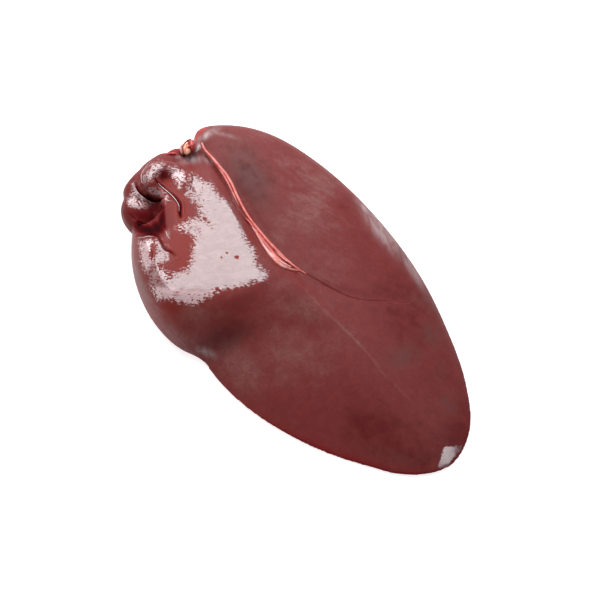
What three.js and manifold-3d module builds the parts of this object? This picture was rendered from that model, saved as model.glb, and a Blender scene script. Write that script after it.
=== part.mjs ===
// A whole raw beef liver, lying flat on its underside, as one closed solid.
// Units are millimetres. +X points from the hilum (the blunt end with the vessels) to the thin tip,
// +Y to the thick far margin, +Z up, and the table is z = 0.
//
// Everything is laid out from the umbilicus, the point on the top of the organ where the three lines
// of its surface meet: the fissure of the round ligament, the cleft and the falciform line.

import * as THREE from "three";
import { mergeVertices } from "three/addons/utils/BufferGeometryUtils.js";
import Module from "manifold-3d";

const wasm = await Module();
wasm.setup();

// The margin: the outermost line of the organ, anticlockwise from the hilum, as x, y, its height and
// how full the organ is behind it. A low margin is a thin, sharp one, and a high one is thick and round.
// The fuller the organ, the longer its top stays high on the way out to the margin.
const MARGIN = [
  [-220, 24, 19, 4.1],
  [-222, -16, 20, 4.4],
  [-208, -54, 19, 4.3],
  [-176, -87, 18, 6],
  [-134, -120, 17, 9],
  [-92, -139, 17, 12],
  [-53, -147, 16, 12],
  [-17, -144, 12, 7],
  [10, -131, 7, 2.8],
  [40, -134, 5, 2.3],
  [96, -128, 4, 2.1],
  [160, -109, 3, 2],
  [217, -78, 3, 2],
  [259, -45, 5, 2.3],
  [273, -8, 6, 2.4],
  [256, 32, 7, 2.6],
  [210, 68, 9, 2.8],
  [144, 98, 12, 3.1],
  [74, 120, 15, 3.1],
  [-15, 133, 17, 2.9],
  [-108, 132, 18, 2.7],
  [-182, 116, 18, 2.7],
  [-223, 89, 18, 2.6],
  [-242, 53, 19, 2.7],
];

// The height of the organ's top over the umbilicus.
const MIDDLE_HEIGHT = 47;

// How steeply the top meets the margin: a wedge's 1 at a thin one and less at a high one, where it
// curves over.
const STEEPNESS = { atTable: 1.2, perHeight: 0.044 };

// The stretch over which the underside curves up to the margin, which grows with its height.
const UNDERSIDE_CURVE = { width: 3, widthPerHeight: 1.4 };

// How close to the margin the swellings and valleys keep their full height: a higher power is closer.
const RELIEF_REACH = 14;

// The left lobe swells up to a crest, a line that runs from beside the umbilicus to the near margin.
// It slopes gently from there to the hilum and faster to the tip, and it ends at the fissure.
const LEFT_LOBE = {
  crest: [
    [0, -35],
    [-61, -136],
  ],
  rise: [11, 24],
  toHilum: 178,
  toTip: 66,
  fissureSide: 9,
};

// The right lobe is highest close to the fissure: its top, how far it reaches from there, and its rise.
const RIGHT_LOBE = { x: -110, y: 38, toHilum: 140, toTip: 200, across: 90, rise: 7 };

// The fissure of the round ligament and the cleft beyond the umbilicus, as x and y along the top.
const FISSURE = [
  [-207, 36],
  [-158, 25],
  [-111, 15],
  [-60, 3],
  [-28, -2],
  [0, 0],
];
const CLEFT = [
  [0, 0],
  [40, 13],
  [68, 31],
  [90, 55],
  [103, 81],
];
// The left lobe's border: the fissure, and the falciform line that goes on to the tip.
const LOBE_BORDER = [...FISSURE, [251, 6]];
const FISSURE_VALLEY = { depth: 5, halfWidth: 9, fadesWithin: 60 };
const CLEFT_VALLEY = { depth: 1.5, halfWidth: 6, fadesWithin: 20 };

// The folds about the hilum, as the points x, y, z of the middle of each, half its width and half its
// height.
const FOLDS = {
  shoulder: {
    spine: [[-206, 4, 28], [-178, -12, 35], [-146, -29, 38], [-96, -54, 42]],
    halfWidth: 26,
    halfHeight: 18,
  },
  outerLobe: {
    spine: [[-198, 5, 31], [-215, -13, 31], [-210, -41, 28], [-206, -62, 28], [-183, -69, 27]],
    halfWidth: 18,
    halfHeight: 18,
  },
  lowerLobe: {
    spine: [[-206, -62, 21], [-188, -75, 22], [-158, -82, 22]],
    halfWidth: 18,
    halfHeight: 18,
  },
  innerLobe: {
    spine: [[-178, -8, 38], [-196, -18, 42], [-206, -30, 42], [-201, -43, 42], [-176, -46, 40]],
    halfWidth: 13,
    halfHeight: 12,
  },
  vesselWall: {
    spine: [[-219, -12, 30], [-223, -2, 32], [-220, 9, 34], [-209, 18, 33]],
    halfWidth: 6,
    halfHeight: 6,
  },
  tongue: {
    spine: [[-186, -38, 43], [-168, -44, 46], [-150, -53, 47], [-136, -63, 45], [-114, -78, 40]],
    halfWidth: 8.5,
    halfHeight: 9,
  },
};

// The hollow between the lower lobe and the tongue, cut like a fold.
const HOLLOW = {
  spine: [[-200, -52, 46], [-182, -62, 46], [-162, -72, 44], [-142, -88, 38]],
  halfWidth: 17,
  halfHeight: 20,
};

// The cut vessels at the hilum: a short tube out of the body, by its ends, radii and depth.
const STUMP = {
  root: [-200, 23, 32],
  end: [-217, 18, 49],
  radius: 8.5,
  bore: 4.5,
  boreEnd: 3.6,
  boreDepth: 13,
  tipDepth: 15.2,
};

// The round ligament, a band that lies in the fissure and splits in two before the umbilicus.
const LIGAMENT_HALF_WIDTH = 3;
const LIGAMENT_HALF_HEIGHT = 2.6;
const STRAND_HALF_WIDTH = 2;
const STRAND = [
  [-104, 13],
  [-81, 4],
  [-49, -4],
  [-22, -6],
  [-4, -2],
];

// How finely the solids are faceted.
const SEGMENTS_AROUND = 104;
const RINGS_ABOVE = 26;
const RINGS_BELOW = 8;
const RING_CROWDING = 1.7;
const HILUM_CROWDING = 0.3;
const FOLD_SIDES = 14;
const FOLD_RINGS = 12;
const BAND_SIDES = 8;
const BAND_RINGS = 24;

// 1 tapers a fold's ends to points like an ellipse's, and less makes them blunter.
const BLUNTNESS = 0.6;
// How far in from the square corner a lip's rounding lies on each side, as a share of its radius.
const LIP_CORNER = 1 - Math.SQRT1_2;
// A height clear above the whole organ.
const CLEAR_ABOVE = 200;
// Corners closer than this are one corner.
const SAME_CORNER = 1e-3;
const UP = new THREE.Vector3(0, 0, 1);
const Y_AXIS = new THREE.Vector3(0, 1, 0);

// How far the right lobe lifts the top at a point in plan.
function rightSwelling(x, y) {
  const lobe = RIGHT_LOBE;
  const reach = x < lobe.x ? lobe.toHilum : lobe.toTip;
  const along = Math.min(1, Math.abs(x - lobe.x) / reach);
  const across = Math.min(1, Math.abs(y - lobe.y) / lobe.across);
  return lobe.rise * (1 - along ** 2) ** 2 * (1 - across ** 2) ** 2;
}

// How far the left lobe lifts the top at a point in plan.
function leftSwelling(x, y) {
  const [start, end] = LEFT_LOBE.crest.map((p) => new THREE.Vector2(...p));
  const crest = end.clone().sub(start);
  const offset = new THREE.Vector2(x, y).sub(start);
  const along = offset.dot(crest) / crest.lengthSq();
  const rise = THREE.MathUtils.lerp(...LEFT_LOBE.rise, THREE.MathUtils.smoothstep(along, 0, 1));
  const hilumwards = offset.cross(crest) / crest.length();
  const slope =
    hilumwards > 0
      ? Math.max(0, 1 - (hilumwards / LEFT_LOBE.toHilum) ** 2)
      : Math.max(0, 1 - (hilumwards / LEFT_LOBE.toTip) ** 2) ** 2;
  const { away, side } = fromLine(x, y, LOBE_BORDER);
  return side > 0 ? rise * slope * (1 - Math.exp(-((away / LEFT_LOBE.fissureSide) ** 2))) : 0;
}

// How far a point in plan is from a line, and on which side: above 0 is to the right of its way.
function fromLine(x, y, line) {
  const point = new THREE.Vector3(x, y, 0);
  const nearest = new THREE.Vector3();
  let away = Infinity;
  let side = 0;
  for (let i = 1; i < line.length; i++) {
    const stretch = new THREE.Line3(
      new THREE.Vector3(...line[i - 1], 0),
      new THREE.Vector3(...line[i], 0),
    );
    stretch.closestPointToPoint(point, true, nearest);
    const distance = nearest.distanceTo(point);
    if (distance < away) {
      away = distance;
      const way = stretch.delta(new THREE.Vector3());
      side = way.y * (x - nearest.x) - way.x * (y - nearest.y);
    }
  }
  return { away, side };
}

// How far a valley along a line on the top lowers it at a point in plan. It fades out towards the
// umbilicus.
function valley(x, y, line, { depth, halfWidth, fadesWithin }) {
  const fade = Math.min(1, Math.hypot(x, y) / fadesWithin);
  return depth * fade * Math.exp(-((fromLine(x, y, line).away / halfWidth) ** 2));
}

// Height of the top, at a share of the way from the umbilicus to a point of the margin.
function topHeight(edge, fullness, share) {
  const steepness = STEEPNESS.atTable - STEEPNESS.perHeight * edge.z;
  const wedge = (1 - share ** fullness) ** steepness;
  const x = edge.x * share;
  const y = edge.y * share;
  const relief =
    leftSwelling(x, y) +
    rightSwelling(x, y) -
    valley(x, y, FISSURE, FISSURE_VALLEY) -
    valley(x, y, CLEFT, CLEFT_VALLEY);
  const kept = Math.sqrt(1 - share ** RELIEF_REACH);
  return edge.z + (MIDDLE_HEIGHT - edge.z) * wedge + relief * kept;
}

// Height of the underside, which lies flat on the table and curves up to the margin.
function undersideHeight(edge, share) {
  const inward = Math.hypot(edge.x, edge.y) * (1 - share);
  const width = UNDERSIDE_CURVE.width + UNDERSIDE_CURVE.widthPerHeight * edge.z;
  return inward < width ? edge.z * (1 - Math.sqrt(1 - (1 - inward / width) ** 2)) : 0;
}

// The body: a ball whose poles become the middle of the top and of the underside, and whose rings
// spread out to the margin.
function bodyGeometry() {
  const margin = new THREE.CatmullRomCurve3(
    MARGIN.map(([x, y, z]) => new THREE.Vector3(x, y, z)),
    true,
  );
  const fullnesses = new THREE.CatmullRomCurve3(
    MARGIN.map((p) => new THREE.Vector3(p[3], 0, 0)),
    true,
  );
  const rings = RINGS_ABOVE + RINGS_BELOW;
  const ball = new THREE.SphereGeometry(1, SEGMENTS_AROUND, rings);
  const place = ball.getAttribute("position");
  const edge = new THREE.Vector3();
  for (let i = 0; i < place.count; i++) {
    const ring = Math.floor(i / (SEGMENTS_AROUND + 1));
    const turn = (i % (SEGMENTS_AROUND + 1)) / SEGMENTS_AROUND;
    const crowded = turn - (HILUM_CROWDING * Math.sin(2 * Math.PI * turn)) / (2 * Math.PI);
    const way = margin.getUtoTmapping(crowded);
    margin.getPoint(way, edge);
    const above = ring <= RINGS_ABOVE;
    const level = above ? ring / RINGS_ABOVE : (rings - ring) / RINGS_BELOW;
    const share = 1 - (1 - level) ** RING_CROWDING;
    const fullness = fullnesses.getPoint(way).x;
    const z = above ? topHeight(edge, fullness, share) : undersideHeight(edge, share);
    place.setXYZ(i, edge.x * share, edge.y * share, z);
  }
  return ball;
}

// A ball drawn out along a curve, with blunt ends: a fold of the organ, or a band lying on it.
function foldGeometry(spine, halfWidth, halfHeight, sides, rings) {
  const ball = new THREE.SphereGeometry(1, sides, rings);
  const place = ball.getAttribute("position");
  const spot = new THREE.Vector3();
  for (let i = 0; i < place.count; i++) {
    spot.fromBufferAttribute(place, i);
    const along = (1 - spot.y) / 2;
    const tangent = spine.getTangentAt(along);
    const side = tangent.clone().cross(UP).normalize();
    const down = tangent.clone().cross(side);
    const size = Math.hypot(spot.x, spot.z);
    const blunted = size > 0 ? size ** (BLUNTNESS - 1) : 0;
    const middle = spine.getPointAt(along);
    middle.addScaledVector(side, spot.x * blunted * halfWidth);
    middle.addScaledVector(down, spot.z * blunted * halfHeight);
    place.setXYZ(i, middle.x, middle.y, middle.z);
  }
  return ball;
}

// A curve through points given as arrays.
function curveThrough(points) {
  return new THREE.CatmullRomCurve3(points.map((p) => new THREE.Vector3(...p)));
}

// Points in plan laid on the top of a surface.
function drape(points, surface) {
  const ray = new THREE.Raycaster();
  return points.map(([x, y]) => {
    ray.set(new THREE.Vector3(x, y, CLEAR_ABOVE), UP.clone().negate());
    return [x, y, ray.intersectObject(surface)[0].point.z];
  });
}

// A tube with a rounded lip and a blind bore in its far end.
function stumpGeometry({ root, end, radius, bore, boreEnd, boreDepth, tipDepth }) {
  const from = new THREE.Vector3(...root);
  const axis = new THREE.Vector3(...end).sub(from);
  const length = axis.length();
  const lip = (radius - bore) / 2;
  const cut = lip * LIP_CORNER;
  const profile = [
    [0, 0],
    [radius, 0],
    [radius, length - lip],
    [radius - cut, length - cut],
    [bore + lip, length],
    [bore + cut, length - cut],
    [bore, length - lip],
    [boreEnd, length - boreDepth],
    [0, length - tipDepth],
  ];
  return new THREE.LatheGeometry(profile.map((p) => new THREE.Vector2(...p)), FOLD_SIDES)
    .applyQuaternion(new THREE.Quaternion().setFromUnitVectors(Y_AXIS, axis.normalize()))
    .translate(from.x, from.y, from.z);
}

// A closed geometry as a solid that can be joined and cut.
function solidOf(geometry) {
  const bare = new THREE.BufferGeometry()
    .setAttribute("position", geometry.getAttribute("position"))
    .setIndex(geometry.index);
  const merged = mergeVertices(bare, SAME_CORNER);
  return new wasm.Manifold(
    new wasm.Mesh({
      numProp: 3,
      vertProperties: new Float32Array(merged.getAttribute("position").array),
      triVerts: new Uint32Array(merged.index.array),
    }),
  );
}

// A solid as a geometry again.
function geometryOf(solid) {
  const { numProp, vertProperties, triVerts } = solid.getMesh();
  const geometry = new THREE.BufferGeometry()
    .setAttribute("position", new THREE.BufferAttribute(vertProperties, numProp))
    .setIndex(new THREE.BufferAttribute(triVerts, 1));
  geometry.computeVertexNormals();
  return geometry;
}

// A fold of given spine and size as a solid.
function foldSolid({ spine, halfWidth, halfHeight }) {
  return solidOf(
    foldGeometry(curveThrough(spine), halfWidth, halfHeight, FOLD_SIDES, FOLD_RINGS),
  );
}

let organ = solidOf(bodyGeometry()).subtract(foldSolid(HOLLOW));
for (const fold of Object.values(FOLDS)) {
  organ = organ.add(foldSolid(fold));
}
const surface = new THREE.Mesh(geometryOf(organ));
for (const [line, halfWidth] of [[FISSURE, LIGAMENT_HALF_WIDTH], [STRAND, STRAND_HALF_WIDTH]]) {
  const spine = curveThrough(drape(line, surface));
  const band = foldGeometry(spine, halfWidth, LIGAMENT_HALF_HEIGHT, BAND_SIDES, BAND_RINGS);
  organ = organ.add(solidOf(band));
}
organ = organ.add(solidOf(stumpGeometry(STUMP)));

const liver = new THREE.Mesh(
  geometryOf(organ),
  new THREE.MeshStandardMaterial({ color: 0x6e2f2d, roughness: 0.3, metalness: 0 }),
);
liver.name = "liver";

// The frame's origin is on the table, under the middle of the box that just holds the organ.
const box = new THREE.Box3().setFromObject(liver);
const middle = box.getCenter(new THREE.Vector3());
liver.position.set(-middle.x, -middle.y, 0);

const part = new THREE.Group();
part.add(liver);
export default part;
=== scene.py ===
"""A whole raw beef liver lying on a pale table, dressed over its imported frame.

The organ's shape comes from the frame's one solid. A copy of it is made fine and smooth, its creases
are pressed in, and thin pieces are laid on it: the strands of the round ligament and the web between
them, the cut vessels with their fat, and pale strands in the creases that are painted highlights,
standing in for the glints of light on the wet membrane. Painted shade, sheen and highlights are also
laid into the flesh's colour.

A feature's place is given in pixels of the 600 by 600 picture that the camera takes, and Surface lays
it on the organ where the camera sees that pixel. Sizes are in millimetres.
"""

from __future__ import annotations

import logging
import math
from dataclasses import dataclass, fields
from enum import Enum

import bpy
import numpy as np
from bpy.types import ID, Material, Mesh, Node, NodeSocket, NodeTree, Object, bpy_prop_collection
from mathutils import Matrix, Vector
from mathutils.bvhtree import BVHTree

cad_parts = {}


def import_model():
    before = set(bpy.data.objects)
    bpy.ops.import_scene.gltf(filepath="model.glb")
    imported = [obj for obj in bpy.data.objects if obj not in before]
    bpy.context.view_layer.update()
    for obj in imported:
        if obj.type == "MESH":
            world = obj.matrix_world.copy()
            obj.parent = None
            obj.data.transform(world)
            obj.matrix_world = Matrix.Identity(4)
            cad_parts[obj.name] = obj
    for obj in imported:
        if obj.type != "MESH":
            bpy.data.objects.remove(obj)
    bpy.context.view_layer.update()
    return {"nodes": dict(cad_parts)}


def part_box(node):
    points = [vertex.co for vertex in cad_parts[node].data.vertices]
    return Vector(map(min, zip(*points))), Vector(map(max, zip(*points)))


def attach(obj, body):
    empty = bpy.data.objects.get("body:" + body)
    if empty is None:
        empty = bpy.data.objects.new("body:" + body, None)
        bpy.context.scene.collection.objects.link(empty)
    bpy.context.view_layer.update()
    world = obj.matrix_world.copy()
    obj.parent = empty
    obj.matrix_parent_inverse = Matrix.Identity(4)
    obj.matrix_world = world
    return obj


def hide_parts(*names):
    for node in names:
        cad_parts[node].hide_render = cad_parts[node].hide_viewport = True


LOG = logging.getLogger("liver")
MM = 0.001
Pixel = tuple[float, float]
Colour = tuple[float, float, float]

# Where a ray passes beside the organ, its nearest place is sought this far to both sides, by steps.
RAY_REACH = 260.0
RAY_STEP = 4.0

# How many places are measured against a line at once, which bounds the memory that it takes.
PLACES_AT_ONCE = 4000

# The Mix node's sockets for colours, which share their names with those for numbers.
MIX_FROM, MIX_TO, MIX_RESULT = 6, 7, 2

# Where the umbilicus lies in the frame's box, from the hilum end and from the near side. It is the
# point on the top where the fissure, the cleft and the falciform line meet.
HILUM_TO_UMBILICUS = 241.6
NEAR_SIDE_TO_UMBILICUS = 147.2

# The round ligament: its two strands, a finer one beside the first, and the web between them.
RIGHT_STRAND = [
    (202, 143), (205, 151), (212, 158), (219, 167), (226, 175), (232, 185), (237, 196), (243, 208),
    (250, 220), (258, 230), (268, 242), (278, 252), (287, 261), (296, 268), (306, 274),
]
SIDE_STRAND = [(206, 154), (213, 161), (221, 171), (227, 181), (233, 193), (239, 206)]
LEFT_STRAND = [
    (252, 227), (256, 233), (261, 242), (267, 251), (273, 259), (280, 266), (287, 269), (294, 270),
    (301, 271),
]
LOOP_STRAND = [(274, 250), (281, 258), (288, 263), (293, 265)]
WEB = [(246, 218), (253, 226), (260, 236), (268, 246), (276, 256), (284, 263), (291, 267)]
LOWER_WEB = [(268, 250), (275, 258), (283, 264), (291, 267)]

# A flap of the vessel's wall.
FLAP = [(163, 155), (168, 153), (174, 153), (179, 155)]

# The lumps at the cut vessels.
FAT_AT = (187, 149)
VESSEL_AT = (182, 150)
CLOT_AT = (192, 145)
LUMP_AT = (198, 148)

# Lines on the organ.
FISSURE = [
    (203, 152), (210, 161), (217, 171), (223, 180), (229, 190), (235, 203), (242, 214), (250, 225),
]
CLEFT = [
    (296, 269), (306, 274), (315, 279), (327, 286), (339, 292), (350, 297), (364, 300), (379, 301),
    (391, 301),
]
CLEFT_END = [(391, 301), (400, 303), (407, 303), (413, 299), (417, 293)]
FALCIFORM_LINE = [
    (300, 284), (319, 305), (336, 321), (353, 338), (369, 355), (383, 373), (399, 389), (416, 408),
    (436, 429),
]

# The creases at the hilum, each with a pale strand beside it that is a painted glint of light on the
# wet membrane.
OUTER_CREASE = [(135, 184), (139, 191), (146, 197), (154, 201), (161, 200), (164, 196)]
INNER_CREASE = [
    (155, 176), (158, 182), (164, 188), (170, 193), (176, 199), (180, 205), (180, 212), (181, 218),
]
HOLLOW_EDGE = [
    (137, 236), (143, 237), (149, 235), (157, 236), (161, 242), (165, 249), (171, 252), (176, 257),
]
TONGUE_EDGE = [(162, 206), (163, 214), (164, 222), (165, 230)]
LOBE_RIM = [
    (181, 160), (174, 155), (166, 152), (157, 154), (148, 160), (142, 168), (139, 177), (139, 184),
]
FOLD_EDGE = [(128, 213), (134, 219), (141, 223), (148, 226)]
SHORT_CREASES = [
    [(191, 172), (193, 177), (192, 184), (190, 191)],
    [(186, 176), (188, 182), (193, 188), (197, 194)],
    [(176, 176), (180, 181), (182, 187)],
    [(150, 248), (152, 254), (151, 261)],
    [(134, 196), (139, 199), (144, 205)],
    [(140, 194), (138, 201), (141, 207)],
]

# Painted highlights: the lines of pale strands that stand in for the glints of light on the wet
# membrane.
OUTER_GLINT = [(134, 185), (137, 192), (143, 198), (150, 202), (157, 204)]
INNER_GLINT = [(158, 183), (164, 189), (169, 193), (175, 199), (179, 205), (179, 211)]
HOLLOW_GLINT = [(138, 237), (143, 238), (149, 236), (156, 238)]
TONGUE_GLINT = [(166, 231), (167, 236), (170, 239)]
LOBE_GLINT = [(142, 183), (141, 176), (145, 168), (150, 162)]

# The outlines of the patches that mirror the light; some also carry painted highlight, by their share
# in PATCHES.
MAIN_PATCH = [
    (188, 184), (192, 175), (200, 181), (210, 184), (218, 196), (227, 201), (231, 205), (234, 212),
    (239, 221), (242, 230), (247, 242), (254, 251), (256, 263), (265, 274), (266, 280), (253, 281),
    (239, 286), (219, 290), (207, 296), (197, 303), (182, 302), (168, 297), (158, 300), (152, 285),
    (166, 281), (175, 275), (188, 270), (191, 264), (192, 257), (195, 238), (190, 233), (180, 227),
    (193, 220), (202, 218), (213, 226), (199, 212), (198, 205), (193, 199), (187, 193),
]
LOWER_PATCH = [
    (158, 300), (152, 288), (166, 289), (185, 291), (205, 292), (220, 290), (219, 292), (207, 297),
    (197, 304), (182, 303), (168, 298),
]
SMALL_PATCH = [
    (140, 241), (150, 239), (158, 239), (163, 246), (169, 255), (168, 260), (158, 263), (147, 272),
    (142, 262),
]
SMALL_PATCH_LEFT = [(140, 243), (150, 241), (150, 262), (146, 271), (142, 262)]
SPECKLED_PATCH = [(151, 272), (158, 267), (167, 275), (166, 285), (156, 291), (151, 284)]
TIP_PATCH = [(444, 447), (462, 445), (461, 450), (452, 461), (447, 468), (437, 468), (440, 460)]
LOBE_PATCH = [
    (144, 184), (143, 176), (149, 173), (152, 166), (157, 163), (162, 165), (164, 168), (161, 173),
    (156, 175), (151, 178),
]
SIDE_PATCH = [(168, 170), (175, 167), (182, 173), (185, 179), (180, 186), (174, 177)]
OUTER_PATCH = [
    (127, 200), (131, 193), (136, 192), (143, 199), (152, 205), (146, 209), (137, 208), (129, 206),
]
FOLD_PATCH = [(132, 184), (135, 186), (137, 192), (133, 192)]
FLECKS = [
    [(148, 188), (154, 187), (161, 190), (164, 193), (161, 197), (154, 195)],
    [(164, 195), (167, 197), (167, 200), (165, 199)],
    [(178, 226), (181, 225), (182, 228), (179, 229)],
]


class Mode(Enum):
    """Blender's modes that the modelling steps switch between."""

    OBJECT = "OBJECT"
    EDIT = "EDIT"


def set_mode(mode: Mode) -> None:
    """Switch the active object to a mode."""
    bpy.ops.object.mode_set(mode=mode.value)


def select_only(piece: Object) -> None:
    """Make one object the only selected one and the active one.

    Args:
        piece: The object to select.
    """
    bpy.ops.object.select_all(action="DESELECT")
    piece.select_set(True)
    bpy.context.view_layer.objects.active = piece


def apply_modifier(piece: Object, kind: str, **settings: object) -> None:
    """Add a modifier, set it and apply it.

    Args:
        piece: The object to change.
        kind: The modifier's type.
        **settings: The modifier's values by name.
    """
    select_only(piece)
    bpy.ops.object.modifier_add(type=kind)
    modifier = piece.modifiers[-1]
    for name, value in settings.items():
        setattr(modifier, name, value)
    bpy.ops.object.modifier_apply(modifier=modifier.name)


def rows_of(items: bpy_prop_collection, field: str) -> np.ndarray:
    """Read a vector from each vertex, vertex normal or face of a mesh.

    Args:
        items: The vertices, the vertex normals or the faces.
        field: What the vector is called there.

    Returns:
        One row of x, y, z for each item.
    """
    flat = np.empty(len(items) * 3)
    items.foreach_get(field, flat)
    return flat.reshape(-1, 3)


def put_attribute(mesh: Mesh, name: str, values: np.ndarray) -> None:
    """Store one number for each vertex, as an attribute with a name."""
    attribute = mesh.attributes.new(name, "FLOAT", "POINT")
    attribute.data.foreach_set("value", values.astype(np.float32))


def bell(away: np.ndarray, reach: float) -> np.ndarray:
    """Fall smoothly from 1 in the middle to about a third at the reach."""
    return np.exp(-((away / reach) ** 2))


def rise(values: np.ndarray, start: float, length: float) -> np.ndarray:
    """Rise evenly from 0 at the start to 1 a length farther on."""
    return np.clip((values - start) / length, 0, 1)


def curve_through(points: np.ndarray, step: float) -> np.ndarray:
    """Lay a Catmull-Rom curve through points.

    Args:
        points: The points, one a row.
        step: The spacing of the curve's own points, in the points' unit.

    Returns:
        The curve's points, one a row.
    """
    padded = np.vstack([2 * points[0] - points[1], points, 2 * points[-1] - points[-2]])
    rows = []
    for p0, p1, p2, p3 in zip(padded, padded[1:], padded[2:], padded[3:]):
        count = max(2, int(np.linalg.norm(p2 - p1) / step))
        t = np.linspace(0, 1, count, endpoint=False)[:, None]
        squared = (2 * p0 - 5 * p1 + 4 * p2 - p3) * t**2
        cubed = (3 * p1 - p0 - 3 * p2 + p3) * t**3
        rows.append(0.5 * (2 * p1 + (p2 - p0) * t + squared + cubed))
    rows.append(points[-1:])
    return np.vstack(rows)


def distance_to(places: np.ndarray, line: np.ndarray, reach: float) -> np.ndarray:
    """Measure how far places are from a line.

    Args:
        places: The places, one a row.
        line: Closely spaced points of the line.
        reach: Places farther than this are left at the reach.

    Returns:
        The distance of each place, at most the reach.
    """
    away = np.full(len(places), reach)
    low, high = line.min(0) - reach, line.max(0) + reach
    near = np.flatnonzero(((places > low) & (places < high)).all(1))
    for chunk in np.array_split(near, max(1, len(near) // PLACES_AT_ONCE)):
        gaps = np.linalg.norm(places[chunk, None] - line[None], axis=2)
        away[chunk] = np.minimum(reach, gaps.min(1))
    return away


def inside_outline(places: np.ndarray, outline: list[Pixel]) -> np.ndarray:
    """Measure how deep inside a flat outline places lie.

    Args:
        places: The places' x and y, one a row.
        outline: The outline's corners in order.

    Returns:
        The distance to the outline, negative outside it.
    """
    corners = np.array(outline, float)
    away = np.full(len(places), np.inf)
    within = np.zeros(len(places), bool)
    for a, b in zip(corners, np.roll(corners, -1, axis=0)):
        side = b - a
        share = np.clip(((places - a) @ side) / (side @ side), 0, 1)
        away = np.minimum(away, np.linalg.norm(places - a - share[:, None] * side, axis=1))
        crosses = (a[1] > places[:, 1]) != (b[1] > places[:, 1])
        slope = side[0] / side[1] if side[1] else 0.0
        within ^= crosses & (places[:, 0] < a[0] + (places[:, 1] - a[1]) * slope)
    return np.where(within, away, -away)


class Value:
    """A shader socket that takes part in Python expressions."""

    def __init__(self, graph: Graph, socket: NodeSocket) -> None:
        """Wrap an output socket of a graph."""
        self.graph = graph
        self.socket = socket

    def __add__(self, other: Value | float) -> Value:
        """Add a value or a number."""
        return self.graph.math("ADD", self, other)

    def __sub__(self, other: Value | float) -> Value:
        """Subtract a value or a number."""
        return self.graph.math("SUBTRACT", self, other)

    def __rsub__(self, other: float) -> Value:
        """Subtract this from a number."""
        return self.graph.math("SUBTRACT", other, self)

    def __mul__(self, other: Value | float) -> Value:
        """Multiply by a value or a number."""
        return self.graph.math("MULTIPLY", self, other)

    __radd__ = __add__
    __rmul__ = __mul__

    def step(self, low: float, high: float) -> Value:
        """Rise smoothly from 0 to 1.

        Args:
            low: Where it is still 0.
            high: Where it is 1.

        Returns:
            The risen value.
        """
        node = self.graph.node(
            "ShaderNodeMapRange",
            {"interpolation_type": "SMOOTHSTEP"},
            {"Value": self, "From Min": low, "From Max": high},
        )
        return Value(self.graph, node.outputs["Result"])


@dataclass(frozen=True)
class Noise:
    """Smooth noise over an object.

    The size of its spots is in millimetres, and the layers are the finer ones added. Its place is
    turned about the vertical, in degrees, and then stretched: less than 1 draws the spots out along
    that axis. Where a contrast is given, the noise rises from 0 to 1 between those two values.
    """

    size: float
    layers: float
    twist: float = 0.0
    stretch: tuple[float, float, float] = (1.0, 1.0, 1.0)
    turn: float = 0.0
    contrast: tuple[float, float] | None = None
    roughness: float = 0.55


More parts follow.
